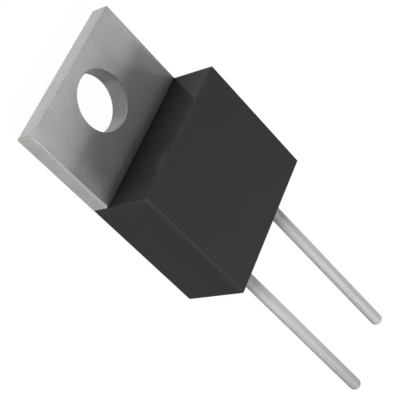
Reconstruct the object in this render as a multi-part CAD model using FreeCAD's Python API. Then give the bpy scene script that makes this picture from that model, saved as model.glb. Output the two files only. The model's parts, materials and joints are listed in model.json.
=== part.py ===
"""Two-lead power diode in a tabbed, moulded package, lying flat on its back.

Millimetres. The origin is the centre of the tab's hole, on the back plane.
+Z is out of the front face, +Y is along the package towards the tab's end,
and the leads leave the moulding towards -Y.
"""
import FreeCAD, Part
import math
import os

V = FreeCAD.Vector
ALONG_X = V(1, 0, 0)
ALONG_Y = V(0, 1, 0)
ALONG_Z = V(0, 0, 1)

# Whole package
package_width = 10.0
body_length = 8.73
body_thickness = 4.45
body_edge_radius = 0.10

# Tab: the bare end of the header
tab_length = 6.17
header_thickness = 1.27
tab_edge_radius = 0.08
hole_diameter = 3.62
hole_to_tab_end = 2.70
hole_rim_radius = 0.06

# Paddle: the header's other end, inside the moulding
paddle_side_cover = 0.70
paddle_end_cover = 2.45
lock_step_width = 0.35
lock_step_height = 0.45
groove_inset = 0.50
groove_width = 0.40
groove_depth = 0.20

# Leads
lead_diameter = 0.81
lead_pitch = 5.08
lead_height = 2.25
lead_length = 13.90

# Inner ends of the leads, pressed flat from just inside the moulding
lead_round_entry = 0.10
flat_width = 1.40
flat_thickness = 0.35
flat_corner_radius = 0.30
anode_pad_length = 2.60
foot_on_paddle = 1.30
foot_clearance = 0.35
step_bend_radius = 0.70

# Chip and solder
die_width = 3.00
die_length = 3.00
die_thickness = 0.28
solder_thickness = 0.07
die_solder_margin = 0.15
foot_solder_margin = 0.10

# Bond wires
wire_count = 2
wire_diameter = 0.38
wire_spacing = 0.70
wire_rise = 0.75
wedge_length = 0.80
wedge_width = 0.50
wedge_thickness = 0.20
die_bond_offset_x = 0.55
die_bond_offset_y = 0.25
pad_bond_inset = 0.85

# Places worked out from the sizes above
tab_end = hole_to_tab_end
body_top = tab_end - tab_length
body_end = body_top - body_length
lead_tip = body_end - lead_length
half_width = package_width / 2
lead_radius = lead_diameter / 2

paddle_half_width = half_width - paddle_side_cover
paddle_end = body_end + paddle_end_cover
paddle_middle = (body_top + paddle_end) / 2

solder_top = header_thickness + solder_thickness
die_top = solder_top + die_thickness
foot_height = solder_top + flat_thickness / 2
foot_start = paddle_end - foot_clearance
foot_end = paddle_end + foot_on_paddle

anode_x = lead_pitch / 2
cathode_x = -lead_pitch / 2
flat_start = body_end + lead_round_entry
anode_pad_end = flat_start + anode_pad_length
anode_pad_top = lead_height + flat_thickness / 2


def block(x_low, x_high, y_low, y_high, z_low, z_high):
    """Box between two corners."""
    return Part.makeBox(x_high - x_low, y_high - y_low, z_high - z_low, V(x_low, y_low, z_low))


def joined(pieces):
    """One solid from pieces that touch or overlap, with no seams left between flush faces."""
    return pieces[0].fuse(pieces[1:]).removeSplitter().Solids[0]


def rounded(shape, radius, is_chosen):
    """Round every edge of a box whose middle point passes the test is_chosen."""
    return shape.makeFillet(radius, [edge for edge in shape.Edges if is_chosen(edge.CenterOfMass)])


def tapered_slab(x, y, z, width, length, thickness, margin):
    """Solder layer: its top is width by length, and its sides spread by margin at its base."""
    half_x, half_y = width / 2 + margin, length / 2 + margin
    slab = Part.makeWedge(-half_x, 0, -half_y, margin - half_y, margin - half_x,
                          half_x, thickness, half_y, half_y - margin, half_x - margin)
    slab.rotate(V(0, 0, 0), ALONG_X, 90)
    slab.translate(V(x, y, z))
    return slab


def round_face(radius, centre, direction):
    """Flat disc, to be swept into a bend of wire."""
    return Part.Face(Part.Wire(Part.makeCircle(radius, centre, direction)))


def round_lead(x):
    """Round part of a lead, from its full-round tip to where it is pressed flat."""
    tip_centre = V(x, lead_tip + lead_radius, lead_height)
    wire = Part.makeCylinder(lead_radius, flat_start - tip_centre.y, tip_centre, ALONG_Y)
    return joined([wire, Part.makeSphere(lead_radius, tip_centre)])


def flat_bar(x, y_low, y_high, z):
    """Straight stretch of flattened lead, centred on the height z."""
    return block(x - flat_width / 2, x + flat_width / 2, y_low, y_high,
                 z - flat_thickness / 2, z + flat_thickness / 2)


def flat_pad(x, y_low, y_high, z):
    """Last stretch of flattened lead, with its far corners rounded."""
    half_way = (y_low + y_high) / 2
    return rounded(flat_bar(x, y_low, y_high, z), flat_corner_radius,
                   lambda middle: middle.y > half_way and abs(middle.z - z) < flat_thickness / 4)


def flat_bend(middle, direction, bend_centre, axis, turn):
    """Bend in a flattened lead, swept from its section at a point, across a direction."""
    across = direction.cross(ALONG_X)
    corner = middle - ALONG_X * (flat_width / 2) - across * (flat_thickness / 2)
    section = Part.makePlane(flat_width, flat_thickness, corner, direction, ALONG_X)
    return section.revolve(bend_centre, axis, math.degrees(turn))


def header():
    """Plate of the header: the tab with its hole, and the narrower paddle with its mould locks."""
    tab = block(-half_width, half_width, body_top, tab_end, 0, header_thickness)
    tab = rounded(tab, tab_edge_radius, lambda middle: middle.y > body_top + tab_edge_radius)

    upper = block(-paddle_half_width, paddle_half_width, paddle_end, body_top,
                  lock_step_height, header_thickness)
    exposed_half_width = paddle_half_width - lock_step_width
    lower = block(-exposed_half_width, exposed_half_width, paddle_end + lock_step_width, body_top,
                  0, lock_step_height)
    plate = joined([tab, upper, lower])

    groove_middle = body_top - groove_inset
    profile = Part.makePolygon([
        V(-paddle_half_width, groove_middle - groove_width / 2, header_thickness),
        V(-paddle_half_width, groove_middle, header_thickness - groove_depth),
        V(-paddle_half_width, groove_middle + groove_width / 2, header_thickness),
        V(-paddle_half_width, groove_middle - groove_width / 2, header_thickness)])
    groove = Part.Face(profile).extrude(ALONG_X * (2 * paddle_half_width))
    hole = Part.makeCylinder(hole_diameter / 2, header_thickness)
    plate = plate.cut([groove, hole]).Solids[0]

    front_rim = [edge for edge in plate.Edges
                 if edge.BoundBox.ZMin > header_thickness / 2
                 and abs(edge.BoundBox.XLength - hole_diameter) < hole_rim_radius]
    return plate.makeFillet(hole_rim_radius, front_rim)


def silicon_die():
    """Chip, at the middle of the paddle."""
    return block(-die_width / 2, die_width / 2,
                 paddle_middle - die_length / 2, paddle_middle + die_length / 2,
                 solder_top, die_top)


def die_solder():
    """Solder between the chip and the header."""
    return tapered_slab(0, paddle_middle, header_thickness, die_width, die_length,
                        solder_thickness, die_solder_margin)


def cathode_solder():
    """Solder between the cathode lead's foot and the header."""
    length = foot_on_paddle - foot_solder_margin
    return tapered_slab(cathode_x, foot_end - length / 2, header_thickness, flat_width, length,
                        solder_thickness, foot_solder_margin)


def cathode_lead():
    """Lead that steps down in two equal bends to its foot on the header."""
    drop = lead_height - foot_height
    turn = math.acos(1 - drop / (2 * step_bend_radius))
    bend_reach = step_bend_radius * math.sin(turn)
    bend_start = foot_start - 2 * bend_reach
    bends_meet = V(cathode_x, bend_start + bend_reach, (lead_height + foot_height) / 2)
    slope = V(0, math.cos(turn), -math.sin(turn))

    upper_bend = flat_bend(V(cathode_x, bend_start, lead_height), ALONG_Y,
                           V(cathode_x, bend_start, lead_height - step_bend_radius), -ALONG_X, turn)
    lower_bend = flat_bend(bends_meet, slope,
                           V(cathode_x, foot_start, foot_height + step_bend_radius), ALONG_X, turn)
    return joined([round_lead(cathode_x), flat_bar(cathode_x, flat_start, bend_start, lead_height),
                   upper_bend, lower_bend, flat_pad(cathode_x, foot_start, foot_end, foot_height)])


def anode_lead():
    """Straight lead that ends in the pad for the bond wires, clear above the header."""
    return joined([round_lead(anode_x), flat_pad(anode_x, flat_start, anode_pad_end, lead_height)])


def wedge_bond(place, direction):
    """Flattened end of a bond wire, pressed on to the surface at a place, along a direction."""
    straight = (wedge_length - wedge_width) / 2
    middle = block(-straight, straight, -wedge_width / 2, wedge_width / 2, 0, wedge_thickness)
    ends = [Part.makeCylinder(wedge_width / 2, wedge_thickness, V(x, 0, 0)) for x in (-straight, straight)]
    bond = joined([middle] + ends)
    bond.rotate(V(0, 0, 0), ALONG_Z, math.degrees(math.atan2(direction.y, direction.x)))
    bond.translate(place)
    return bond


def bond_wire(number):
    """One wire, as a round arch from the chip's top to the anode lead's pad."""
    pad_place = V(anode_x, anode_pad_end - pad_bond_inset, anode_pad_top)
    die_place = V(die_bond_offset_x, paddle_middle - die_bond_offset_y, die_top)
    forward = V(pad_place.x - die_place.x, pad_place.y - die_place.y, 0).normalize()
    sideways = ALONG_Z.cross(forward) * wire_spacing * (number - (wire_count - 1) / 2)
    on_die, on_pad = die_place + sideways, pad_place + sideways

    lift = ALONG_Z * (wedge_thickness / 2)
    start, end = on_die + lift, on_pad + lift
    crown = (start + end) / 2
    crown.z = max(start.z, end.z) + wire_rise
    arch_centre = Part.Circle(start, crown, end).Center
    arch_axis = ALONG_Z.cross(forward)
    first_spoke = start - arch_centre
    arch_angle = first_spoke.getAngle(end - arch_centre)
    disc = round_face(wire_diameter / 2, start, arch_axis.cross(first_spoke))
    wire = disc.revolve(arch_centre, arch_axis, math.degrees(arch_angle))

    below_die = block(-half_width, half_width, paddle_middle - die_length / 2, body_top, 0, die_top)
    below_pad = block(0, half_width, body_end, anode_pad_end, 0, anode_pad_top)
    wire = wire.cut([below_die, below_pad]).Solids[0]
    return joined([wire, wedge_bond(on_die, forward), wedge_bond(on_pad, forward)])


def body(inner_pieces):
    """Black moulding, cast round everything that is inside it."""
    upper = block(-half_width, half_width, body_end, body_top, header_thickness, body_thickness)
    upper = rounded(upper, body_edge_radius, lambda middle: middle.z > header_thickness + body_edge_radius)
    lower = block(-half_width, half_width, body_end, body_top, 0, header_thickness)
    lower = rounded(lower, body_edge_radius,
                    lambda middle: middle.z < header_thickness - body_edge_radius
                    and middle.y < body_top - body_edge_radius)
    moulding = joined([upper, lower])
    return moulding.cut(inner_pieces).Solids[0]


def main():
    """Make every piece, cast the body round them, and write one file for each."""
    pieces = {
        "header": header(),
        "silicon_die": silicon_die(),
        "die_solder": die_solder(),
        "cathode_solder": cathode_solder(),
        "cathode_lead": cathode_lead(),
        "anode_lead": anode_lead(),
    }
    for number in range(wire_count):
        pieces[f"bond_wire_{number + 1}"] = bond_wire(number)
    pieces["body"] = body(list(pieces.values()))

    os.makedirs("parts", exist_ok=True)
    for name, shape in pieces.items():
        shape.exportStep(f"parts/{name}.step")
        print(f"{name}: {shape.Volume:.3f} mm3, valid {shape.isValid()}, {len(shape.Faces)} faces")


main()
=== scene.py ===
"""A two-lead power diode in a tabbed, moulded package, lying on its back on a pale floor.

The moulding, the chip, the solder and the bond wires are the CAD frame's own solids with
detailed finishes. The plated plate with the mounting tab and the two leads are made here.
Sizes are in metres, in the frame of the CAD: the origin is the centre of the tab's hole on
the back plane, +Z is out of the front face, and the leads run towards -Y.
"""

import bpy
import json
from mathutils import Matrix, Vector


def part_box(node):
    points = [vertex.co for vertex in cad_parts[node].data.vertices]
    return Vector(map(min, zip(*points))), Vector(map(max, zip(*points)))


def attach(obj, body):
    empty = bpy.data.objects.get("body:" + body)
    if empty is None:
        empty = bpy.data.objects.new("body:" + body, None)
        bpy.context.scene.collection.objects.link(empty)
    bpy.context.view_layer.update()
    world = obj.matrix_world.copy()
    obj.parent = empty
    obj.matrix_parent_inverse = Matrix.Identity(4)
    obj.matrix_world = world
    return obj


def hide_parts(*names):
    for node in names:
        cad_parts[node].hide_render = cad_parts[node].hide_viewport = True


bl_info = {
    "name": "Tabbed Power Diode",
    "version": (1, 0, 0),
    "blender": (4, 5, 0),
    "location": "View3D > Sidebar > Diode",
    "description": "Builds a tabbed power diode, its finishes and its studio",
    "category": "Add Mesh",
}

import json
import math

import bmesh
import bpy
from bpy.props import FloatProperty, FloatVectorProperty, IntProperty, PointerProperty
from bpy.types import Operator, Panel, PropertyGroup
from mathutils import Quaternion, Vector

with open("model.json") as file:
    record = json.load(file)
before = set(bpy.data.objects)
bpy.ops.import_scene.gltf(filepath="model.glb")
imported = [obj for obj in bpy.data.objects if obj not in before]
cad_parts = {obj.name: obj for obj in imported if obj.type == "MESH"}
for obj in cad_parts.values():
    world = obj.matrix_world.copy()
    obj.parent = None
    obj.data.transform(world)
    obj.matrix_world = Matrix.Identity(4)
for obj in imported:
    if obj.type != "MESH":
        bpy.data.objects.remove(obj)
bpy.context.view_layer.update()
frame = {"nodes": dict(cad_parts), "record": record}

MM = 0.001
MICRON = 0.000001
PER_MM = 1000.0
TINY = 1e-9
FULL_TURN = 2 * math.pi
ALONG_X = (1, 0, 0)
WHITE = (1, 1, 1)

nodes = frame["nodes"]
mounts = {mount["name"]: mount for mount in frame["record"]["mounts"]}
hole_radius = mounts["tab_hole"]["dims"]["r_mm"] * MM
pin = mounts["anode_pin"]
body_low, body_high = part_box("body")
plate_low, plate_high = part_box("header")
anode_low, anode_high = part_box("anode_lead")
cathode_low, cathode_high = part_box("cathode_lead")

# How far inside the moulding the leads start to be pressed flat, and over what length.
PRESS_START = 0.10 * MM
PRESS_LENGTH = 0.5 * MM

# What several settings share.
LENGTH = {"min": 0, "unit": "LENGTH", "subtype": "DISTANCE"}
SHARE = {"min": 0, "max": 1, "subtype": "FACTOR"}
COLOUR = {"min": 0, "max": 1, "size": 3, "subtype": "COLOR"}
TURN = {"unit": "ROTATION", "subtype": "ANGLE"}


# Nodes

class Signal:
    """What one socket gives out, so that node maths is written as ordinary expressions."""

    def __init__(self, bench, socket):
        self.bench = bench
        self.socket = socket

    def __add__(self, other):
        return self.bench.maths("ADD", self, other)

    __radd__ = __add__

    def __sub__(self, other):
        return self.bench.maths("SUBTRACT", self, other)

    def __rsub__(self, other):
        return self.bench.maths("SUBTRACT", other, self)

    def __mul__(self, other):
        return self.bench.maths("MULTIPLY", self, other)

    def __truediv__(self, other):
        return self.bench.maths("DIVIDE", self, other)

    def __pow__(self, other):
        return self.bench.maths("POWER", self, other)

    def __abs__(self):
        return self.bench.maths("ABSOLUTE", self)

    def __gt__(self, other):
        return self.bench.maths("GREATER_THAN", self, other)


class Bench:
    """Adds nodes to one tree."""

    def __init__(self, tree):
        self.tree = tree

    def node(self, kind, sockets=None, output=0, **settings):
        """Add a node, with what goes into its sockets, and its settings. Gives one output."""
        made = self.tree.nodes.new(kind)
        for name, value in settings.items():
            if name == "stops":
                self.set_stops(made.color_ramp, value)
            elif name == "captured":
                for item in value:
                    made.capture_items.new(*item)
            else:
                setattr(made, name, value)
        for name, value in (sockets or {}).items():
            self.feed(made.inputs[name], value)
        return Signal(self, made.outputs[output]) if len(made.outputs) else made

    def feed(self, socket, value):
        """Link a signal to a socket, or set the socket's own value."""
        if isinstance(value, Signal):
            self.tree.links.new(value.socket, socket)
        else:
            socket.default_value = value

    @staticmethod
    def set_stops(ramp, stops):
        """Give a colour ramp its stops, each a place and a grey level."""
        while len(ramp.elements) < len(stops):
            ramp.elements.new(0.5)
        for element, (place, grey) in zip(ramp.elements, stops):
            element.position = place
            element.color = (grey, grey, grey, 1)

    def other(self, signal, output):
        """Another output of the node that a signal comes from."""
        return Signal(self, signal.socket.node.outputs[output])

    def maths(self, operation, *values):
        """One Math node."""
        return self.node("ShaderNodeMath", dict(enumerate(values)), operation=operation)

    def between(self, value, low, high):
        """0 below low, 1 above high, and a soft step between them."""
        return self.node("ShaderNodeMapRange", {"Value": value, "From Min": low, "From Max": high},
                         interpolation_type="SMOOTHSTEP")

    def slide(self, value, low, high, first=0.0, last=1.0):
        """An even change from first to last, while the value goes from low to high."""
        return self.node("ShaderNodeMapRange", {
            "Value": value, "From Min": low, "From Max": high, "To Min": first, "To Max": last})

    def blend(self, share, first, second):
        """From one number to another. The Mix node has numbers in its sockets 2 and 3."""
        return self.node("ShaderNodeMix", {0: share, 2: first, 3: second}, 0, data_type="FLOAT")

    def tint(self, share, first, second, blend_type="MIX"):
        """From one colour to another. The Mix node has colours in its sockets 6 and 7."""
        return self.node("ShaderNodeMix", {0: share, 6: first, 7: second}, 2,
                         data_type="RGBA", blend_type=blend_type)

    def vectors(self, operation, *values, output=0):
        """One Vector Math node."""
        return self.node("ShaderNodeVectorMath", dict(enumerate(values)), output, operation=operation)

    def scaled(self, vector, scale):
        """A vector times a number."""
        return self.node("ShaderNodeVectorMath", {0: vector, "Scale": scale}, operation="SCALE")

    def round_height(self, radius, run):
        """Height of a quarter circle at a run from its start, and its radius beyond it."""
        inside = self.maths("MAXIMUM", radius - run, 0.0)
        return self.maths("SQRT", self.maths("MAXIMUM", radius * radius - inside * inside, 0.0))

    def parts(self, vector):
        """The three parts of a vector."""
        x = self.node("ShaderNodeSeparateXYZ", {0: vector}, "X")
        return x, self.other(x, "Y"), self.other(x, "Z")


class Finish(Bench):
    """One material, with what all the finishes use: places in millimetres, noise and bumps."""

    def __init__(self, name):
        self.material = bpy.data.materials.new(name)
        self.material.use_nodes = True
        super().__init__(self.material.node_tree)
        self.shader = self.tree.nodes["Principled BSDF"]
        place = self.node("ShaderNodeTexCoord", {}, "Object")
        self.place = self.scaled(place, PER_MM)

    def stretched(self, x, y, z):
        """The place with each direction scaled, for a pattern that is longer one way."""
        return self.vectors("MULTIPLY", self.place, (x, y, z))

    def noise(self, scale, detail=3.0, roughness=0.6, place=None):
        """Soft noise round 0.5, with a scale in features per millimetre."""
        sockets = {"Vector": place or self.place, "Scale": scale, "Detail": detail, "Roughness": roughness}
        return self.node("ShaderNodeTexNoise", sockets, "Fac")

    def shaded(self, colour, level):
        """A property's colour times a level."""
        grey = self.node("ShaderNodeCombineColor", {0: level, 1: level, 2: level})
        return self.tint(1.0, solid(colour), grey, "MULTIPLY")

    def bump(self, height, microns, under=None):
        """Relief of a height in microns, on top of another relief where one is given."""
        sockets = {"Strength": 1.0, "Distance": microns * MICRON, "Height": height}
        if under:
            sockets["Normal"] = under
        return self.node("ShaderNodeBump", sockets)

    def wear(self, **sockets):
        """Set or link the shader's sockets, each named with underscores for spaces."""
        for name, value in sockets.items():
            self.feed(self.shader.inputs[name.replace("_", " ")], value)
        return self.material


def solid(colour, level=1.0):
    """Colour of a property as a node's colour, at a level."""
    return (*(part * level for part in colour), 1)


def swing(noise, width):
    """Noise as a change to either side of nothing, of a width in all."""
    return (noise - 0.5) * width


# Settings

class PlateSettings(PropertyGroup):
    """The plated copper plate: the tab, and the paddle inside the moulding."""

    side_cover: FloatProperty(
        name="Side cover", description="Moulding over each side of the paddle",
        default=0.70 * MM, **LENGTH)
    step_width: FloatProperty(
        name="Step width", description="How far the mould lock's step stands in from the paddle's edge",
        default=0.35 * MM, **LENGTH)
    step_height: FloatProperty(
        name="Step height", description="Height of the mould lock's step over the back",
        default=0.45 * MM, **LENGTH)
    groove_inset: FloatProperty(
        name="Groove inset", description="From the moulding's top face to the middle of the lock groove",
        default=0.50 * MM, **LENGTH)
    groove_width: FloatProperty(
        name="Groove width", description="Width of the lock groove across the paddle",
        default=0.40 * MM, **LENGTH)
    groove_depth: FloatProperty(
        name="Groove depth", description="Depth of the lock groove across the paddle",
        default=0.20 * MM, **LENGTH)
    edge_radius: FloatProperty(
        name="Edge radius", description="Radius of the tab's outer edges", default=0.08 * MM, **LENGTH)
    rim_radius: FloatProperty(
        name="Rim radius", description="Radius of the hole's front rim", default=0.06 * MM, **LENGTH)
    hole_sides: IntProperty(
        name="Hole sides", description="Flat faces round the hole", default=120, min=24, max=360)
    colour: FloatVectorProperty(
        name="Plate colour", description="Colour of the satin nickel plating",
        default=(0.59, 0.59, 0.588), **COLOUR)
    roughness: FloatProperty(
        name="Plate roughness", description="Roughness of the rolled faces", default=0.54, **SHARE)
    cut_roughness: FloatProperty(
        name="Cut roughness", description="Roughness of the faces cut by the stamping tool",
        default=0.60, **SHARE)


class LeadSettings(PropertyGroup):
    """The two round leads and their flat inner ends."""

    diameter: FloatProperty(
        name="Diameter", description="Diameter of the round wire",
        default=2 * pin["dims"]["r_mm"] * MM, **LENGTH)
    flat_thickness: FloatProperty(
        name="Flat thickness", description="Thickness of the pressed inner end",
        default=0.35 * MM, **LENGTH)
    corner_radius: FloatProperty(
        name="Corner radius", description="Radius of the corners of the pressed inner end",
        default=0.30 * MM, **LENGTH)
    foot_length: FloatProperty(
        name="Foot length", description="Straight length of the cathode lead's foot",
        default=1.65 * MM, **LENGTH)
    bend_length: FloatProperty(
        name="Bend length", description="Length over which the cathode lead steps down to the plate",
        default=1.40 * MM, **LENGTH)
    sides: IntProperty(
        name="Sides", description="Faces round each wire", default=64, min=12, max=256)
    colour: FloatVectorProperty(
        name="Lead colour", description="Colour of the tin plating",
        default=(0.54, 0.54, 0.536), **COLOUR)
    roughness: FloatProperty(
        name="Lead roughness", description="Roughness of the tin plating", default=0.55, **SHARE)
    metal: FloatProperty(
        name="Bare metal", description="Share of bright metal in the frosted tin, the rest being matt",
        default=0.0, **SHARE)
    shine: FloatProperty(
        name="Lead shine", description="Strength of the reflections on the matt part of the tin",
        default=0.10, **SHARE)


class MouldingSettings(PropertyGroup):
    """The black epoxy moulding."""

    colour: FloatVectorProperty(
        name="Moulding colour", description="Colour of the epoxy",
        default=(0.031, 0.031, 0.031), **COLOUR)
    roughness: FloatProperty(
        name="Moulding roughness", description="Roughness of the moulded skin", default=0.56, **SHARE)
    upright_roughness: FloatProperty(
        name="Upright roughness", description="Roughness of the smoother faces round the edge",
        default=0.12, **SHARE)
    shine: FloatProperty(
        name="Shine", description="Strength of the skin's reflections", default=0.035, **SHARE)


class InnerSettings(PropertyGroup):
    """The chip, the solder and the bond wires, sealed in the moulding."""

    silicon: FloatVectorProperty(
        name="Silicon", description="Colour of the chip's sawn sides",
        default=(0.18, 0.18, 0.20), **COLOUR)
    solder: FloatVectorProperty(
        name="Solder", description="Colour of the soft solder", default=(0.50, 0.50, 0.52), **COLOUR)
    aluminium: FloatVectorProperty(
        name="Aluminium", description="Colour of the bond wires and the chip's top metal",
        default=(0.82, 0.83, 0.84), **COLOUR)


class StageSettings(PropertyGroup):
    """The floor, the light and the camera."""

    floor_shadow: FloatProperty(
        name="Floor shadow", description="How strongly the object's shadow shows on the white floor",
        default=0.03, **SHARE)
    floor_bounce: FloatProperty(
        name="Floor bounce", description="How much light the floor gives back to the object",
        default=0.55, **SHARE)
    ambient: FloatProperty(
        name="Studio light", description="Brightness of the studio all round", default=0.14, min=0, max=4)
    strip_light: FloatProperty(
        name="Strip light", description="Brightness of the upright strip beyond the leads",
        default=28.5, min=0, max=100)
    side_light: FloatProperty(
        name="Side light", description="Brightness of the soft box on the cathode lead's side",
        default=16.8, min=0, max=100)
    low_light: FloatProperty(
        name="Low light", description="Brightness of the low soft box on the anode lead's side",
        default=8.0, min=0, max=100)
    top_light: FloatProperty(
        name="Top light", description="Brightness of the soft box overhead", default=12.0, min=0, max=100)
    fill_light: FloatProperty(
        name="Fill light", description="Brightness of the low soft box beyond the tab",
        default=5.8, min=0, max=100)
    under_light: FloatProperty(
        name="Under light", description="Brightness of the soft box under the floor",
        default=3.0, min=0, max=100)
    azimuth: FloatProperty(
        name="Camera azimuth", description="Direction of the camera round the object",
        default=math.radians(-133.8345), **TURN)
    elevation: FloatProperty(
        name="Camera elevation", description="Height angle of the camera over the floor",
        default=math.radians(43.9774), **TURN)
    roll: FloatProperty(
        name="Camera roll", description="Turn of the camera about its own axis",
        default=math.radians(-78.6771), **TURN)
    distance: FloatProperty(
        name="Camera distance", description="From the camera to the point that it looks at",
        default=66.3017 * MM, **LENGTH)


# Shared steps

def link_new(name, mesh):
    """A new object at the origin."""
    made = bpy.data.objects.new(name, mesh)
    bpy.context.scene.collection.objects.link(made)
    return made


def as_piece(piece, material, slot, *replaced):
    """Give a piece its material, hide the CAD nodes that it stands for, and attach it to the root. Its slot
    is not used.
    """
    if not piece.data.materials:
        piece.data.materials.append(material)
    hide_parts(*replaced)
    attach(piece, "root")


def finish_nodes(material, *names):
    """Give the CAD nodes' own solids a material."""
    for name in names:
        for held in nodes[name].material_slots:
            held.material = material


def set_input(modifier, name, value):
    """Set a Geometry Nodes input by its name, through its identifier."""
    for item in modifier.node_group.interface.items_tree:
        if item.item_type == "SOCKET" and item.in_out == "INPUT" and item.name == name:
            modifier[item.identifier] = value
            return
    raise RuntimeError(f"the tree {modifier.node_group.name} has no input named {name}")


def make_plain(piece):
    """Turn what the modifiers give into the piece's own mesh."""
    shown = piece.evaluated_get(bpy.context.evaluated_depsgraph_get())
    mesh = bpy.data.meshes.new_from_object(shown)
    piece.modifiers.clear()
    piece.data = mesh
    if not mesh.polygons:
        raise RuntimeError(f"{piece.name} came out with no faces")


# Plate

def ring_corners(marks, sides):
    """Points round the tab's outline, by angle, as (angle, x, y, number of the ray or None)."""
    corners = []
    for number in range(sides):
        angle = FULL_TURN * number / sides
        run, rise = math.cos(angle), math.sin(angle)
        far_end = plate_high.y if rise > 0 else body_high.y
        side = plate_high.x / abs(run) if abs(run) > TINY else math.inf
        end = far_end / rise if abs(rise) > TINY else math.inf
        length = min(side, end)
        corners.append((angle, run * length, rise * length, number))
    for x, y in marks:
        corners.append((math.atan2(y, x) % FULL_TURN, x, y, None))
    return sorted(corners)


def add_tab_face(mesh, height, corners, sides, upwards):
    """One face of the tab, from the hole to the outline. Gives the points of its rim and outline."""
    rim = []
    for number in range(sides):
        angle = FULL_TURN * number / sides
        rim.append(mesh.verts.new((hole_radius * math.cos(angle), hole_radius * math.sin(angle), height)))
    outline = [mesh.verts.new((x, y, height)) for _, x, y, _ in corners]
    rays = [place for place, corner in enumerate(corners) if corner[3] is not None]
    for here, place in enumerate(rays):
        following = rays[(here + 1) % len(rays)]
        count = (following - place) % len(corners)
        outer = [outline[(place + step) % len(corners)] for step in range(count + 1)]
        face = [rim[here], *outer, rim[(here + 1) % sides]]
        mesh.faces.new(face if upwards else face[::-1])
    return rim, outline


def plate_mesh(settings):
    """Mesh of the plate: the tab with its hole, and the paddle with its lock steps and groove."""
    mesh = bmesh.new()
    sides = settings.hole_sides
    reach, tab_end, body_end = plate_high.x, plate_high.y, body_high.y
    paddle_end, top = plate_low.y, plate_high.z
    upper = reach - settings.side_cover
    lower = upper - settings.step_width
    step = settings.step_height

    def add(*points):
        return [mesh.verts.new(point) for point in points]

    def along(outline, axis, place, way):
        """The outline's points on one straight side, in order of the other axis."""
        line = [vert for vert in outline if abs(vert.co[axis] - place) < MICRON]
        return sorted(line, key=lambda vert: way * vert.co[1 - axis])

    marks = [(reach, tab_end), (-reach, tab_end), (-reach, body_end), (reach, body_end)]
    top_ring = ring_corners(marks + [(-upper, body_end), (upper, body_end)], sides)
    back_ring = ring_corners(marks + [(-lower, body_end), (lower, body_end)], sides)
    top_rim, top_outline = add_tab_face(mesh, top, top_ring, sides, True)
    back_rim, back_outline = add_tab_face(mesh, 0, back_ring, sides, False)
    for number in range(sides):
        following = (number + 1) % sides
        mesh.faces.new([top_rim[number], top_rim[following], back_rim[following], back_rim[number]])

    # The tab's sides and end, then the wall beside the paddle, where the moulding starts.
    for side in (1, -1):
        back_edge = along(back_outline, 0, side * reach, side)
        mesh.faces.new([*back_edge, *along(top_outline, 0, side * reach, -side)])
    mesh.faces.new([*along(top_outline, 1, tab_end, 1), *along(back_outline, 1, tab_end, -1)])
    top_line = along(top_outline, 1, body_end, 1)
    back_line = along(back_outline, 1, body_end, 1)
    step_corners = {}
    for side in (1, -1):
        outer_step, inner_step = add((side * upper, body_end, step), (side * lower, body_end, step))
        step_corners[side] = (outer_step, inner_step)
        above = [vert for vert in top_line[::side] if side * vert.co.x > upper - MICRON]
        below = [vert for vert in back_line[::-side] if side * vert.co.x > lower - MICRON]
        face = [*above, *below, inner_step, outer_step]
        mesh.faces.new(face[::side])

    # The paddle inside the moulding, with a groove across its front and a step round its back.
    groove = body_end - settings.groove_inset
    half_groove = settings.groove_width / 2
    bottom = top - settings.groove_depth
    levels = ((groove + half_groove, top), (groove, bottom), (groove - half_groove, top), (paddle_end, top))
    across = [add((-upper, y, z), (upper, y, z)) for y, z in levels]
    paddle_line = [vert for vert in top_line if abs(vert.co.x) < upper + MICRON]
    mesh.faces.new([*paddle_line[::-1], *across[0]])
    for nearer, farther in zip(across, across[1:]):
        mesh.faces.new([nearer[1], nearer[0], farther[0], farther[1]])

    ledge_y = paddle_end + settings.step_width
    ledge_outer = {side: add((side * upper, paddle_end, step))[0] for side in (1, -1)}
    ledge_inner = {side: add((side * lower, ledge_y, step))[0] for side in (1, -1)}
    foot = {side: add((side * lower, ledge_y, 0))[0] for side in (1, -1)}
    for side in (1, -1):
        row = 0 if side < 0 else 1
        outer_step, inner_step = step_corners[side]
        end_of_top = [vert for vert in paddle_line if side * vert.co.x > upper - MICRON][0]
        end_of_back = [vert for vert in back_line if abs(vert.co.x - side * lower) < MICRON][0]
        wall = [end_of_top, outer_step, ledge_outer[side], *[pair[row] for pair in across[::-1]]]
        mesh.faces.new(wall[::-side])
        ledge = [outer_step, inner_step, ledge_inner[side], ledge_outer[side]]
        mesh.faces.new(ledge[::side])
        low_wall = [inner_step, end_of_back, foot[side], ledge_inner[side]]
        mesh.faces.new(low_wall[::side])
    mesh.faces.new([across[-1][0], across[-1][1], ledge_outer[1], ledge_outer[-1]])
    mesh.faces.new([ledge_outer[-1], ledge_outer[1], ledge_inner[1], ledge_inner[-1]])
    mesh.faces.new([ledge_inner[-1], ledge_inner[1], foot[1], foot[-1]])
    back_strip = [vert for vert in back_line if abs(vert.co.x) < lower + MICRON]
    mesh.faces.new([*back_strip, foot[1], foot[-1]])

    bmesh.ops.recalc_face_normals(mesh, faces=mesh.faces)
    round_plate_edges(mesh, settings)
    return mesh


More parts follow.
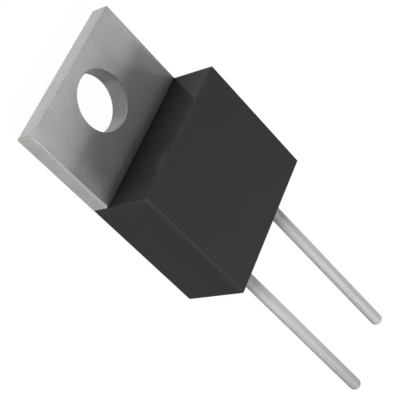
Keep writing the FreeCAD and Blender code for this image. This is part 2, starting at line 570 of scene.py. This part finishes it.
def round_plate_edges(mesh, settings):
    """Round the tab's outer edges and the front rim of its hole."""
    def is_outside(co):
        return plate_high.x - abs(co.x) < MICRON or plate_high.y - co.y < MICRON

    sharp = math.radians(60)
    outer, rim = [], []
    for edge in mesh.edges:
        first, second = (vert.co for vert in edge.verts)
        if edge.calc_face_angle(0) < sharp:
            continue
        middle = (first + second) / 2
        if is_outside(first) and is_outside(second) and middle.y > body_high.y + MICRON:
            outer.append(edge)
        elif middle.z > plate_high.z - MICRON and middle.xy.length < hole_radius + MICRON:
            rim.append(edge)
    for edges, radius, segments in ((outer, settings.edge_radius, 5), (rim, settings.rim_radius, 4)):
        geom = [edge for edge in edges if edge.is_valid]
        bmesh.ops.bevel(mesh, geom=geom, offset=radius, offset_type="OFFSET",
                        segments=segments, profile=0.5, affect="EDGES")


def shade_plate(data):
    """Keep the flat faces flat, and let the rounded edges and the hole's wall run smoothly."""
    along_an_axis = 0.9999
    nearly_the_same = 0.9

    def is_flat(face):
        return max(abs(part) for part in face.normal) > along_an_axis

    flat_normals = {}
    for face in data.polygons:
        if is_flat(face):
            for corner in face.vertices:
                flat_normals.setdefault(corner, []).append(face.normal.copy())
    normals = []
    for face in data.polygons:
        face.use_smooth = True
        for corner in face.vertices:
            vertex = data.vertices[corner]
            flat = flat_normals.get(corner, ())
            near = [normal for normal in flat if normal.dot(face.normal) > nearly_the_same]
            if is_flat(face) or face.center.y < body_high.y:
                normals.append(face.normal)
            elif near:
                normals.append(near[0])
            elif abs(vertex.co.xy.length - hole_radius) < MICRON:
                normals.append(-vertex.co.xy.to_3d().normalized())
            else:
                normals.append(vertex.normal)
    data.normals_split_custom_set(normals)


def plate_finish(settings):
    """Satin nickel over copper: fine grain, cloudy plating, and rougher faces where it was cut.

    Some of the light on the tab is painted too, by its place in millimetres from the hole.
    """
    finish = Finish("Satin nickel plate")
    x, y, z = finish.parts(finish.place)
    between = finish.between
    reach, tab_end, top = (part * PER_MM for part in plate_high)
    clouds = finish.noise(0.55, 3.0, 0.55)
    grain = finish.noise(26.0)
    rolled = finish.noise(9.0, place=finish.stretched(1.0, 0.12, 1.0))
    shear = finish.noise(14.0, 3.0, 0.65, finish.stretched(1.0, 1.0, 0.10))
    wipe_angle = math.radians(-38)
    turned = finish.node("ShaderNodeVectorRotate", {"Vector": finish.place, "Angle": wipe_angle},
                         rotation_type="Z_AXIS")
    wiped = finish.noise(1.0, place=finish.vectors("MULTIPLY", turned, (0.22, 2.6, 1.0)))

    # The cut faces, the hole's wall and the rounded edges.
    side = between(abs(x), reach - 0.14, reach - 0.07)
    end = between(y, tab_end - 0.03, tab_end - 0.01)
    radius = finish.vectors("LENGTH", finish.stretched(1, 1, 0), output="Value")
    wall = hole_radius * PER_MM
    hole = 1.0 - between(radius, wall, wall + 0.02)
    rim = wall + settings.rim_radius * PER_MM
    on_rim = (1.0 - between(radius, rim - 0.005, rim + 0.005)) * (1.0 - hole)
    # Bands on the front half and the middle of the end's rounded edge, which get a painted highlight.
    end_edge_glint = between(y, tab_end - 0.09, tab_end - 0.05)
    end_edge_glint = end_edge_glint - between(y, tab_end - 0.045, tab_end - 0.03)
    end_corner = tab_end + top
    rounded = between(y + z, end_corner - 0.085, end_corner - 0.055)

    # Painted shade: how much darker those are drawn than the rolled faces. The cut noise is the sheared
    # faces' own uneven tone.
    cut = swing(shear, 0.10)
    # Painted highlight on the top of each side, and painted shade over its arris.
    side_top_glow = between(z, top - 0.32, top - 0.08) * 0.14
    arris_shade = between(z, top - 0.03, top - 0.01) * 0.22
    side_shade = 0.26 + cut - side_top_glow + arris_shade
    # Painted shade on the end, deeper towards its top.
    end_shade = 0.20 + cut + between(z, top - 0.34, top - 0.10) * 0.09
    # Painted shade on the hole's wall, deeper on its far side and lighter on its near side, and painted
    # shade on its rim that dims the rim's highlight, more on the far side.
    far_side = x * 0.785 + y * 0.62
    far_wall_shade = between(far_side, 1.15, 1.45) * 0.13
    near_wall_light = between(far_side * -1.0, 0.4, 1.2) * 0.15
    hole_shade = 0.60 + cut + far_wall_shade - near_wall_light
    rim_shade = (0.4 + between(far_side, 0.5, 1.4)) * 0.45

    # Small differences of the light on the tab's front.
    left = x * -1.0
    down = y * -1.0
    by_end = between(y, 1.2, 2.2) * 0.05
    left_corner = between(left, 3.2, 4.1) - between(left, 4.4, 4.8)
    left_corner = left_corner * between(down, 1.6, 2.6) * 0.24
    right_corner = between(x, 4.3, 4.8) * (1.0 - side) * between(down, 0.0, 1.5) * 0.14

    level = 1.0 + swing(clouds, 0.14) + swing(wiped, 0.14) + swing(grain, 0.06)
    # Painted light on the tab's front, and painted highlights on the end's rounded edge.
    level = level + by_end + left_corner - right_corner + end_edge_glint * 0.20 + rounded * 0.14
    level = level - side * side_shade - end * end_shade - hole * hole_shade - on_rim * rim_shade
    colour = finish.shaded(settings.colour, level)
    cut_colour = finish.tint(1.0, colour, solid((1.0, 0.998, 0.972)), "MULTIPLY")
    rough = settings.roughness + swing(clouds, 0.08) + swing(grain, 0.06)
    return finish.wear(Base_Color=finish.tint(side, colour, cut_colour), Metallic=1.0,
                       Roughness=finish.blend(side, rough, settings.cut_roughness),
                       Normal=finish.bump(rolled, 0.8, finish.bump(grain, 1.2)))


class DIODE_OT_plate(Operator):
    """Make the plated plate: the tab with its hole, and the paddle inside the moulding."""

    bl_idname = "diode.plate"
    bl_label = "Plate"

    def execute(self, context):
        settings = context.scene.diode_plate
        mesh = plate_mesh(settings)
        data = bpy.data.meshes.new("plated_plate")
        mesh.to_mesh(data)
        mesh.free()
        shade_plate(data)
        piece = link_new("plated_plate", data)
        as_piece(piece, plate_finish(settings), "plated_plate", "header")
        return {"FINISHED"}


# Leads

def wire_tree():
    """Geometry Nodes tree: a round wire along a path, full-round at its tip and pressed flat inside."""
    tree = bpy.data.node_groups.new("Pressed wire", "GeometryNodeTree")
    sockets = tree.interface
    sockets.new_socket(name="Path", in_out="INPUT", socket_type="NodeSocketGeometry")
    sizes = (("Wire radius", 0.4 * MM), ("Pressed from", 14.0 * MM), ("Press length", PRESS_LENGTH),
             ("Flat width", 1.4 * MM), ("Flat thickness", 0.35 * MM), ("Corner radius", 0.3 * MM))
    for name, size in sizes:
        socket = sockets.new_socket(name=name, in_out="INPUT", socket_type="NodeSocketFloat")
        socket.subtype = "DISTANCE"
        socket.default_value = size
        socket.min_value = 0
    sides = sockets.new_socket(name="Sides", in_out="INPUT", socket_type="NodeSocketInt")
    sides.default_value = 64
    sockets.new_socket(name="Metal", in_out="INPUT", socket_type="NodeSocketMaterial")
    sockets.new_socket(name="Wire", in_out="OUTPUT", socket_type="NodeSocketGeometry")

    bench = Bench(tree)
    given = bench.node("NodeGroupInput", {}, "Path")
    radius, start, length, width, depth, corner = (bench.other(given, name) for name, _ in sizes)

    # How thick the wire is at each point of the path, which starts at the tip.
    run = bench.node("GeometryNodeSplineParameter", {}, "Length")
    left = bench.node("GeometryNodeSplineLength", {}, "Length") - run
    thickness = bench.round_height(radius, run)

    # How far the press has flattened it there, and how much its end corners are cut.
    pressed = bench.between(run, start, start + length)
    lost = corner - bench.round_height(corner, left)
    wide = bench.blend(pressed, 1.0, (width / 2 - lost) / radius)
    flat = bench.blend(pressed, radius, depth / 2)

    path = bench.node("GeometryNodeMeshToCurve", {"Mesh": given})
    middle = bench.node("GeometryNodeInputPosition")
    along = bench.node("GeometryNodeInputTangent")
    upwards = bench.vectors("NORMALIZE", bench.vectors("CROSS_PRODUCT", ALONG_X, along))
    captured = [("VECTOR", "Middle"), ("VECTOR", "Upwards"), ("FLOAT", "Wide"), ("FLOAT", "Flat")]
    kept = bench.node("GeometryNodeCaptureAttribute", captured=captured, sockets={
        "Geometry": path, "Middle": middle, "Upwards": upwards, "Wide": wide, "Flat": flat})
    points = bench.other(given, "Sides")
    profile = bench.node("GeometryNodeCurvePrimitiveCircle", {"Resolution": points, "Radius": 1.0})
    tube = bench.node("GeometryNodeCurveToMesh", {
        "Curve": bench.node("GeometryNodeSetCurveRadius", {"Curve": kept, "Radius": 1.0}),
        "Profile Curve": profile, "Scale": thickness, "Fill Caps": True})

    # Press the tube: wider across, and cut to the flat's thickness.
    centre = bench.other(kept, "Middle")
    normal = bench.other(kept, "Upwards")
    offset = bench.vectors("SUBTRACT", middle, centre)
    across = bench.vectors("DOT_PRODUCT", offset, ALONG_X, output="Value") * bench.other(kept, "Wide")
    height = bench.vectors("DOT_PRODUCT", offset, normal, output="Value")
    limit = bench.other(kept, "Flat")
    height = bench.maths("MINIMUM", bench.maths("MAXIMUM", height, limit * -1.0), limit)
    sideways = bench.node("ShaderNodeCombineXYZ", {"X": across})
    place = bench.vectors("ADD", centre, bench.vectors("ADD", sideways, bench.scaled(normal, height)))
    wire = bench.node("GeometryNodeSetPosition", {"Geometry": tube, "Position": place})

    wire = bench.node("GeometryNodeMergeByDistance", {"Geometry": wire, "Distance": MICRON / 10})
    wire = bench.node("GeometryNodeSetShadeSmooth", {"Geometry": wire, "Shade Smooth": True})
    wire = bench.node("GeometryNodeRealizeInstances", {"Geometry": wire})
    metal = bench.other(given, "Metal")
    wire = bench.node("GeometryNodeSetMaterial", {"Geometry": wire, "Material": metal})
    bench.node("NodeGroupOutput", {"Wire": wire})
    return tree


def lead_path(x, settings, tip, inner_end, height, foot_height):
    """Points from the tip of a lead to its inner end, close together where its shape changes."""
    radius = settings.diameter / 2
    corner = settings.corner_radius
    quarter = math.pi / 2
    tip_rings, shaft_rings, inner_rings = 14, 24, 48
    shaft = body_low.y - tip
    inside = inner_end - body_low.y
    whole = inner_end - tip
    runs = [radius * (1 - math.cos(quarter * ring / tip_rings)) for ring in range(tip_rings)]
    runs += [radius + (shaft - radius) * ring / shaft_rings for ring in range(shaft_rings)]
    runs += [shaft + (inside - corner) * ring / inner_rings for ring in range(inner_rings)]
    runs += [whole - corner * (1 - math.sin(quarter * ring / tip_rings)) for ring in range(tip_rings + 1)]
    foot_start = inner_end - settings.foot_length
    bend_start = foot_start - settings.bend_length
    points = []
    for run in runs:
        y = tip + run
        share = min(max((y - bend_start) / settings.bend_length, 0), 1)
        eased = share * share * (3 - 2 * share)
        points.append(Vector((x, y, height + (foot_height - height) * eased)))
    return points


def lead_finish(settings):
    """Tin over copper wire: lines left by the drawing die, and a slightly uneven coat.

    Some of the light on the leads is painted too: bands round the wire, and darker ends.
    """
    finish = Finish("Tinned copper wire")
    x, y, z = finish.parts(finish.place)
    pin_x, _, pin_z = (part * PER_MM for part in pin["pos_m"])
    tip = anode_low.y * PER_MM
    body_end = body_low.y * PER_MM
    is_anode = x > 0
    at_tip = 1.0 - finish.between(y, tip, tip + 0.6)
    drawn_share = finish.between(y, tip + 0.1, tip + 0.7)

    # Painted light and shade: bands from one side of the wire to the other, as the photograph sees it, and
    # painted shade towards the wire's outline, stronger at the tip.
    sideways = (x - finish.maths("SIGN", x) * pin_x) * -0.8 - (z - pin_z) * 0.6
    across = sideways / (settings.diameter * PER_MM) + 0.5
    stops = ((0.04, 0.82), (0.14, 0.68), (0.24, 0.60), (0.35, 0.68),
             (0.50, 0.89), (0.66, 1.04), (0.80, 1.13), (0.92, 1.08))
    bands = finish.node("ShaderNodeValToRGB", {"Fac": across}, stops=stops)
    facing = finish.node("ShaderNodeLayerWeight", {"Blend": 0.5}, "Facing")
    rim = facing ** finish.blend(at_tip, 4.0, 2.0) * finish.blend(at_tip, 0.55, 0.85)

    # Painted shade: darker stretches by the body and towards the tip, deeper on the anode lead, and a
    # little more at the tip.
    by_body = finish.slide(y, body_end - 4.8, body_end - 1.5) ** 3.0
    by_tip = finish.slide(y, body_end - 5.0, tip) ** 1.5
    wire_shade = finish.maths("MINIMUM", by_body * 0.75, 0.44)
    wire_shade = wire_shade + by_tip * finish.blend(is_anode, 0.35, 0.13) + at_tip * 0.06

    lines = finish.noise(5.0, place=finish.stretched(1.0, 0.02, 1.0))
    streaks = finish.noise(2.2, 2.0, 0.5, finish.stretched(1.0, 0.08, 1.0))
    scratches = finish.noise(12.0, 1.0, 0.5, finish.stretched(1.0, 0.01, 1.0))
    grain = finish.noise(30.0, 2.0, 0.6)
    coat = finish.noise(0.9, 2.0, 0.5)
    drawn = (swing(lines, 0.50) + swing(streaks, 0.24)) * drawn_share
    level = 1.0 + drawn + swing(grain, 0.03)
    # Painted light and shade: the bands, the shade at the outline and the ends, and a slightly lighter
    # anode lead.
    level = level * bands * (1.0 - rim) * (1.0 - wire_shade) * finish.blend(is_anode, 1.05, 1.0)
    rough = settings.roughness + swing(coat, 0.06) + swing(lines, 0.06)
    relief = finish.bump(coat, 2.0, finish.bump(scratches * drawn_share, 1.2))
    return finish.wear(Base_Color=finish.shaded(settings.colour, level), Metallic=settings.metal,
                       Roughness=rough, Specular_IOR_Level=settings.shine, Normal=relief)


class DIODE_OT_leads(Operator):
    """Make both leads: round wires with full-round tips, pressed flat inside the moulding."""

    bl_idname = "diode.leads"
    bl_label = "Leads"

    def execute(self, context):
        settings = context.scene.diode_leads
        material = lead_finish(settings)
        tree = wire_tree()
        height = pin["pos_m"][2]
        foot_height = cathode_low.z + settings.flat_thickness / 2
        leads = (("anode_lead", anode_low, anode_high, height),
                 ("cathode_lead", cathode_low, cathode_high, foot_height))
        for name, low, high, last_height in leads:
            x = (low.x + high.x) / 2
            points = lead_path(x, settings, low.y, high.y, height, last_height)
            path = bpy.data.meshes.new(name)
            path.from_pydata(points, [(step, step + 1) for step in range(len(points) - 1)], [])
            piece = link_new(f"tinned_{name}", path)
            modifier = piece.modifiers.new("Pressed wire", "NODES")
            modifier.node_group = tree
            inputs = {
                "Wire radius": settings.diameter / 2,
                "Pressed from": body_low.y + PRESS_START - low.y,
                "Press length": PRESS_LENGTH,
                "Flat width": high.x - low.x,
                "Flat thickness": settings.flat_thickness,
                "Corner radius": settings.corner_radius,
                "Sides": settings.sides,
                "Metal": material,
            }
            for socket, value in inputs.items():
                set_input(modifier, socket, value)
            make_plain(piece)
            as_piece(piece, material, "tinned_wire", name)
        return {"FINISHED"}


# Moulding

def moulding_finish(settings):
    """Black filled epoxy: a smooth skin with fine grain, and a painted tone of light and shade for each
    face.
    """
    finish = Finish("Black epoxy moulding")
    x, y, z = finish.parts(finish.place)
    between = finish.between
    width, top_end, front = (part * PER_MM for part in body_high)
    left = x * -1.0
    clouds = finish.noise(0.35, 2.0, 0.5)
    grain = finish.noise(22.0)
    cells = finish.node("ShaderNodeTexVoronoi", {"Vector": finish.place, "Scale": 9.0}, "Distance")
    speck = 1.0 - between(cells, 0.05, 0.12)

    # Painted shade darkens the face over the tab towards the tab, and a painted reflection with a stepped
    # edge crosses it. Painted light makes it paler towards its -X end and lower down.
    end = between(y, top_end - 0.09, top_end - 0.04)
    end_light_and_shade = finish.slide(z, plate_high.z * PER_MM, 4.4, 0.27, 1.44)
    reflection_line = z - 3.66 + (x + 1.6) * 0.34
    painted_reflection = between(reflection_line, -0.04, 0.04) * between(left, 1.38, 1.46)
    paler = between(left, width - 1.6, width - 0.1) * (4.6 - z) * 0.25
    end_light_and_shade = finish.blend(painted_reflection, end_light_and_shade, 1.25) * (1.0 + paler)

    # Painted light: the long sides are paler towards the tab.
    flank = between(abs(x), width - 0.09, width - 0.04)
    flank_light = finish.slide(y, body_low.y * PER_MM, top_end, 0.90, 1.13)
    flank_light = flank_light + between(y, top_end - 0.9, top_end - 0.1) * 0.16

    # Painted shade: the front and the back are a little darker. They are also rougher.
    flat_face = between(abs(z - front / 2), front / 2 - 0.09, front / 2 - 0.03)

    # Painted highlights along the edges.
    side_front, side_end, end_front = width + front, width + top_end, top_end + front
    side_glow = between(z, front - 0.34, front - 0.09)
    side_glow = side_glow * between(abs(x), width - 0.10, width - 0.05)
    edges = between(abs(x) + z, side_front - 0.10, side_front - 0.06) * 0.20 + side_glow * 0.36
    edges = edges + between(abs(x) + y, side_end - 0.10, side_end - 0.06) * 0.35
    edges = edges + between(y + z, end_front - 0.12, end_front - 0.07) * 0.45

    level = 1.0 + swing(clouds, 0.08) + swing(grain, 0.06) + speck * 0.10 + edges
    level = level * finish.blend(end, 1.0, end_light_and_shade) * finish.blend(flank, 1.0, flank_light)
    level = level * finish.blend(flat_face, 1.0, 0.88)
    rough = finish.blend(flat_face, settings.upright_roughness, settings.roughness)
    rough = rough + swing(clouds, 0.05) + swing(grain, 0.05)
    return finish.wear(Base_Color=finish.shaded(settings.colour, level), Roughness=rough,
                       Specular_IOR_Level=settings.shine, Normal=finish.bump(grain, 0.25))


class DIODE_OT_moulding(Operator):
    """Give the moulding its black epoxy finish."""

    bl_idname = "diode.moulding"
    bl_label = "Moulding"

    def execute(self, context):
        finish_nodes(moulding_finish(context.scene.diode_moulding), "body")
        return {"FINISHED"}


# Inner pieces

def silicon_finish(settings):
    """Sawn silicon sides, and a metallised top with a bare margin."""
    finish = Finish("Sawn silicon")
    low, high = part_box("silicon_die")
    x, y, z = finish.parts(finish.place)
    middle = (low + high) / 2 * PER_MM
    half = (high.x - low.x) / 2 * PER_MM
    edge = finish.maths("MAXIMUM", abs(x - middle.x), abs(y - middle.y))
    on_top = z > (high.z * PER_MM - 0.002)
    metal = (1.0 - finish.between(edge, half - 0.16, half - 0.14)) * on_top
    saw = finish.noise(40.0, 2.0, 0.6, finish.stretched(1.0, 1.0, 0.05))
    colour = finish.tint(metal, solid(settings.silicon), solid(settings.aluminium))
    rough = finish.blend(metal, 0.28 + swing(saw, 0.2), 0.38)
    return finish.wear(Base_Color=colour, Metallic=metal, Roughness=rough, Normal=finish.bump(saw, 1.0))


def solder_finish(settings):
    """Dull soft solder with a frosted, grainy skin."""
    finish = Finish("Soft solder")
    frost = finish.noise(7.0, 4.0, 0.6)
    colour = finish.shaded(settings.solder, 0.9 + frost * 0.2)
    rough = 0.35 + frost * 0.2
    return finish.wear(Base_Color=colour, Metallic=1.0, Roughness=rough, Normal=finish.bump(frost, 6.0))


def bond_finish(settings):
    """Bright drawn aluminium wire."""
    finish = Finish("Bond aluminium")
    lines = finish.noise(16.0, place=finish.stretched(1.0, 0.15, 1.0))
    colour = finish.shaded(settings.aluminium, 0.94 + lines * 0.12)
    rough = 0.22 + lines * 0.16
    return finish.wear(Base_Color=colour, Metallic=1.0, Roughness=rough, Normal=finish.bump(lines, 1.5))


class DIODE_OT_inner_pieces(Operator):
    """Give the chip, the solder and the bond wires their finishes."""

    bl_idname = "diode.inner_pieces"
    bl_label = "Inner pieces"

    def execute(self, context):
        settings = context.scene.diode_inner
        finish_nodes(silicon_finish(settings), "silicon_die")
        finish_nodes(solder_finish(settings), "die_solder", "cathode_solder")
        finish_nodes(bond_finish(settings), "bond_wire_1", "bond_wire_2")
        return {"FINISHED"}


# Stage

def floor_material(settings):
    """Pale floor: white to the camera and in reflections, with the object's soft shadow.

    From below it isn't there, so that the back of the part can be looked at.
    """
    material = bpy.data.materials.new("Pale floor")
    material.use_nodes = True
    material.node_tree.nodes.clear()
    bench = Bench(material.node_tree)
    ray = bench.node("ShaderNodeLightPath", {}, "Is Camera Ray")
    seen = bench.maths("MAXIMUM", ray, bench.other(ray, "Is Glossy Ray"))
    seen = bench.maths("MAXIMUM", seen, bench.other(ray, "Is Transmission Ray"))
    from_below = bench.maths("MAXIMUM", bench.node("ShaderNodeNewGeometry", {}, "Backfacing"),
                             bench.other(ray, "Transparent Depth") > 0.5)
    shown = settings.floor_shadow
    colour = bench.tint(seen, solid(WHITE, settings.floor_bounce), solid(WHITE, shown))
    matt = bench.node("ShaderNodeBsdfDiffuse", {"Color": colour})
    strength = seen * (1 - shown * 0.9)
    glow = bench.node("ShaderNodeEmission", {"Color": solid(WHITE), "Strength": strength})
    pale = bench.node("ShaderNodeAddShader", {0: matt, 1: glow})
    clear = bench.node("ShaderNodeBsdfTransparent")
    surface = bench.node("ShaderNodeMixShader", {0: from_below, 1: pale, 2: clear})
    bench.node("ShaderNodeOutputMaterial", {"Surface": surface})
    return material


def light_studio(scene, settings):
    """Weak soft light from all round, and white behind the object where the floor ends."""
    world = bpy.data.worlds.new("Studio")
    world.use_nodes = True
    world.node_tree.nodes.clear()
    scene.world = world
    bench = Bench(world.node_tree)
    seen = bench.node("ShaderNodeLightPath", {}, "Is Camera Ray")
    strength = bench.blend(seen, settings.ambient, 1.0)
    glow = bench.node("ShaderNodeBackground", {"Color": solid(WHITE), "Strength": strength})
    bench.node("ShaderNodeOutputWorld", {"Surface": glow})


def direction(azimuth, elevation):
    """The way to a place at an azimuth from +X and an elevation."""
    flat = math.cos(elevation)
    return Vector((math.cos(azimuth) * flat, math.sin(azimuth) * flat, math.sin(elevation)))


def add_soft_box(name, brightness, azimuth, elevation, width, height):
    """Soft box that faces the middle of the part. Its angles are in degrees and its size in mm."""
    distance = 400 * MM
    lamp = bpy.data.lights.new(name, "AREA")
    lamp.shape = "RECTANGLE"
    lamp.size = width * MM
    lamp.size_y = height * MM
    lamp.energy = brightness * math.pi * (width * MM) * (height * MM)
    placed = link_new(name, lamp)
    away = direction(math.radians(azimuth), math.radians(elevation))
    placed.location = Vector((0, body_high.y, plate_high.z)) + away * distance
    placed.rotation_mode = "QUATERNION"
    placed.rotation_quaternion = away.to_track_quat("Z", "Y")
    placed.visible_camera = False


def place_camera(scene, settings):
    """The camera at the photograph's viewing angle. Its azimuth counts from -Y."""
    aim = Vector((-0.8177, -8.2699, 2.2)) * MM
    back = direction(settings.azimuth - math.pi / 2, settings.elevation)
    data = bpy.data.cameras.new("Camera")
    data.lens = 101.79
    data.sensor_width = 36.0
    data.clip_start = 1 * MM
    data.clip_end = 10.0
    camera = link_new("Camera", data)
    camera.rotation_mode = "QUATERNION"
    camera.location = aim + back * settings.distance
    level = (-back).to_track_quat("-Z", "Y")
    camera.rotation_quaternion = level @ Quaternion((0, 0, 1), -settings.roll)
    scene.camera = camera


class DIODE_OT_stage(Operator):
    """Make the floor, the light and the camera."""

    bl_idname = "diode.stage"
    bl_label = "Stage"

    def execute(self, context):
        scene = context.scene
        settings = scene.diode_stage
        reach = 3.0
        height = -2 * MICRON
        corners = [(-reach, -reach, height), (reach, -reach, height),
                   (reach, reach, height), (-reach, reach, height)]
        mesh = bpy.data.meshes.new("floor")
        mesh.from_pydata(corners, [], [(0, 1, 2, 3)])
        floor = link_new("floor", mesh)
        mesh.materials.append(floor_material(settings))
        light_studio(scene, settings)
        add_soft_box("Strip light", settings.strip_light, azimuth=274, elevation=32, width=75, height=225)
        add_soft_box("Side light", settings.side_light, azimuth=241, elevation=39, width=150, height=112)
        add_soft_box("Low light", settings.low_light, azimuth=295, elevation=22, width=165, height=75)
        add_soft_box("Top light", settings.top_light, azimuth=210, elevation=74, width=75, height=75)
        add_soft_box("Fill light", settings.fill_light, azimuth=88, elevation=15, width=200, height=200)
        add_soft_box("Under light", settings.under_light, azimuth=240, elevation=-65, width=300, height=300)
        place_camera(scene, settings)
        scene.view_settings.view_transform = "Standard"
        return {"FINISHED"}


class DIODE_PT_parts(Panel):
    """The diode's pieces and their settings."""

    bl_label = "Diode"
    bl_idname = "DIODE_PT_parts"
    bl_space_type = "VIEW_3D"
    bl_region_type = "UI"
    bl_category = "Diode"

    def draw(self, context):
        for operator, group in zip(OPERATORS, SETTINGS):
            settings = getattr(context.scene, group)
            box = self.layout.box()
            box.operator(operator.bl_idname)
            for name in settings.__annotations__:
                box.prop(settings, name)


# Each operator and its settings are in the same place of these two.
OPERATORS = (DIODE_OT_moulding, DIODE_OT_plate, DIODE_OT_leads, DIODE_OT_inner_pieces, DIODE_OT_stage)
SETTINGS = {
    "diode_moulding": MouldingSettings,
    "diode_plate": PlateSettings,
    "diode_leads": LeadSettings,
    "diode_inner": InnerSettings,
    "diode_stage": StageSettings,
}


def register():
    """Register the classes and hang the settings on the scene."""
    for name, group in SETTINGS.items():
        bpy.utils.register_class(group)
        setattr(bpy.types.Scene, name, PointerProperty(type=group))
    for operator in OPERATORS:
        bpy.utils.register_class(operator)
    bpy.utils.register_class(DIODE_PT_parts)


def unregister():
    """Take everything away again."""
    bpy.utils.unregister_class(DIODE_PT_parts)
    for operator in reversed(OPERATORS):
        bpy.utils.unregister_class(operator)
    for name, group in reversed(SETTINGS.items()):
        delattr(bpy.types.Scene, name)
        bpy.utils.unregister_class(group)


def main():
    """Build the diode and its stage."""
    register()
    bpy.ops.diode.moulding()
    bpy.ops.diode.plate()
    bpy.ops.diode.leads()
    bpy.ops.diode.inner_pieces()
    bpy.ops.diode.stage()


if __name__ == "__main__":
    main()
